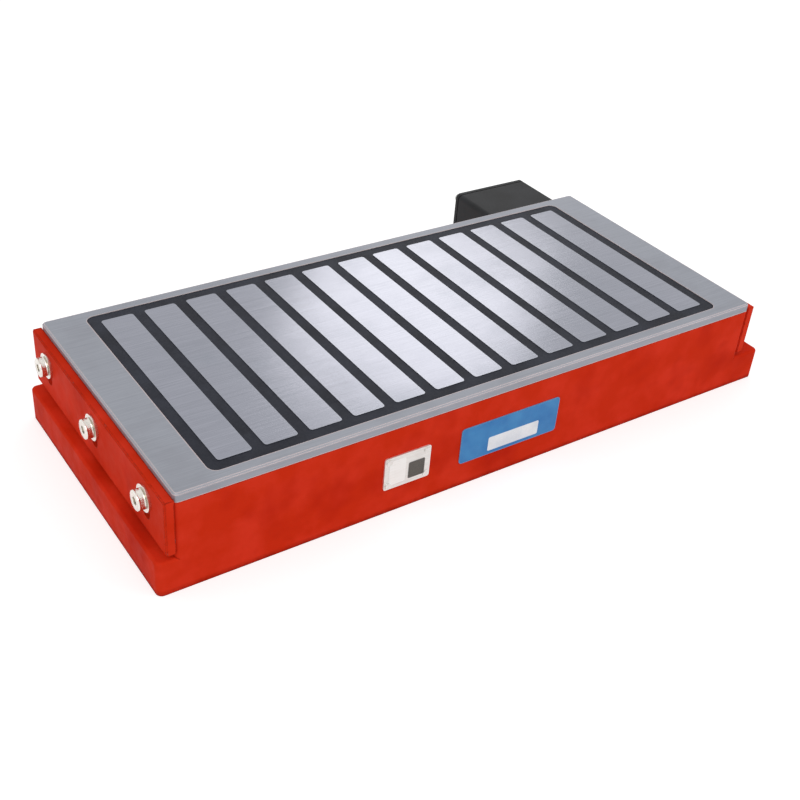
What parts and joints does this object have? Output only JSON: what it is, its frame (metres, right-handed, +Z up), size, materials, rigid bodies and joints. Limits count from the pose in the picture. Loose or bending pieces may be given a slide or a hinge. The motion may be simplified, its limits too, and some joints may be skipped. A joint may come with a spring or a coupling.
{
  "type": "magnetic chuck",
  "caption": "Rectangular electromagnetic grinding chuck: cast body, ground face with cross pole bars, sliding end stops, rear terminal box.",
  "frame": {"origin": "centre of the flat face the chuck rests on", "axes": "+X along the chuck, towards the terminal box end; +Y towards the back; +Z up, out of the working face"},
  "size_m": [0.4878, 0.2558, 0.07],
  "materials": {
    "red_paint": "gloss enamel over a cast surface",
    "ground_steel": "surface ground, fine straight marks",
    "pole_steel": "surface ground, fine straight marks",
    "core_steel": "as turned, oiled",
    "dark_resin": "cast epoxy, ground flush and slightly sunk",
    "potting_resin": "poured resin",
    "bobbin_plastic": "moulded nylon",
    "copper_winding": "enamelled copper wire",
    "lead_sleeve": "woven sleeve",
    "dark_screw": "black oxide",
    "chrome_screw": "bright plated",
    "zinc": "bright zinc plated",
    "rating_metal": "satin sheet",
    "blue_label": "smooth printed sheet",
    "black_box": "textured black",
    "black_rubber": "moulded",
    "block_plastic": "moulded",
    "brass": "machined"
  },
  "bodies": {
    "chuck": {"housing": "red_paint", "rim_plate": "ground_steel", "north_pole_bars": "pole_steel", "south_pole_bars": "pole_steel", "pole_separator": "dark_resin", "pole_cores": "core_steel", "coil_bobbins": "bobbin_plastic", "field_coils": "copper_winding", "potting_slabs": "potting_resin", "coil_leads": "lead_sleeve", "pole_screws": "dark_screw", "rim_screws": "dark_screw", "left_stop_washers": "chrome_screw", "right_stop_washers": "chrome_screw", "rating_plate": "rating_metal", "rating_plate_rivets": "rating_metal", "front_label": "blue_label", "terminal_box": "black_box", "terminal_box_gasket": "black_rubber", "terminal_box_screws": "zinc", "terminal_cover": "black_box", "terminal_cover_gasket": "black_rubber", "terminal_cover_screws": "zinc", "wall_grommet": "black_rubber", "terminal_block": "block_plastic", "terminal_clamp_screws": "brass", "gland_body": "black_box", "gland_locknut": "black_box", "gland_seal": "black_rubber", "gland_nut": "black_box", "earth_washer": "brass", "earth_screw": "brass"},
    "left_stop": {"left_stop_rail": "red_paint"},
    "left_screw_front": {"left_stop_screw_front": "chrome_screw"},
    "left_screw_middle": {"left_stop_screw_middle": "chrome_screw"},
    "left_screw_back": {"left_stop_screw_back": "chrome_screw"},
    "right_stop": {"right_stop_rail": "red_paint"},
    "right_screw_front": {"right_stop_screw_front": "chrome_screw"},
    "right_screw_middle": {"right_stop_screw_middle": "chrome_screw"},
    "right_screw_back": {"right_stop_screw_back": "chrome_screw"}
  },
  "joints": [
    {"name": "left_stop_slide", "type": "slide", "parent": "chuck", "child": "left_stop", "axis": [0, 0, 1], "range_m": [0, 0.01]},
    {"name": "left_screw_front_turn", "type": "hinge", "parent": "chuck", "child": "left_screw_front", "pos_m": [-0.2328, -0.075, 0.053], "axis": [-1, 0, 0], "range_deg": [0, 360]},
    {"name": "left_screw_middle_turn", "type": "hinge", "parent": "chuck", "child": "left_screw_middle", "pos_m": [-0.2328, 0, 0.053], "axis": [-1, 0, 0], "range_deg": [0, 360]},
    {"name": "left_screw_back_turn", "type": "hinge", "parent": "chuck", "child": "left_screw_back", "pos_m": [-0.2328, 0.075, 0.053], "axis": [-1, 0, 0], "range_deg": [0, 360]},
    {"name": "right_stop_slide", "type": "slide", "parent": "chuck", "child": "right_stop", "axis": [0, 0, 1], "range_m": [0, 0.01]},
    {"name": "right_screw_front_turn", "type": "hinge", "parent": "chuck", "child": "right_screw_front", "pos_m": [0.2328, -0.075, 0.053], "axis": [1, 0, 0], "range_deg": [0, 360]},
    {"name": "right_screw_middle_turn", "type": "hinge", "parent": "chuck", "child": "right_screw_middle", "pos_m": [0.2328, 0, 0.053], "axis": [1, 0, 0], "range_deg": [0, 360]},
    {"name": "right_screw_back_turn", "type": "hinge", "parent": "chuck", "child": "right_screw_back", "pos_m": [0.2328, 0.075, 0.053], "axis": [1, 0, 0], "range_deg": [0, 360]}
  ]
}
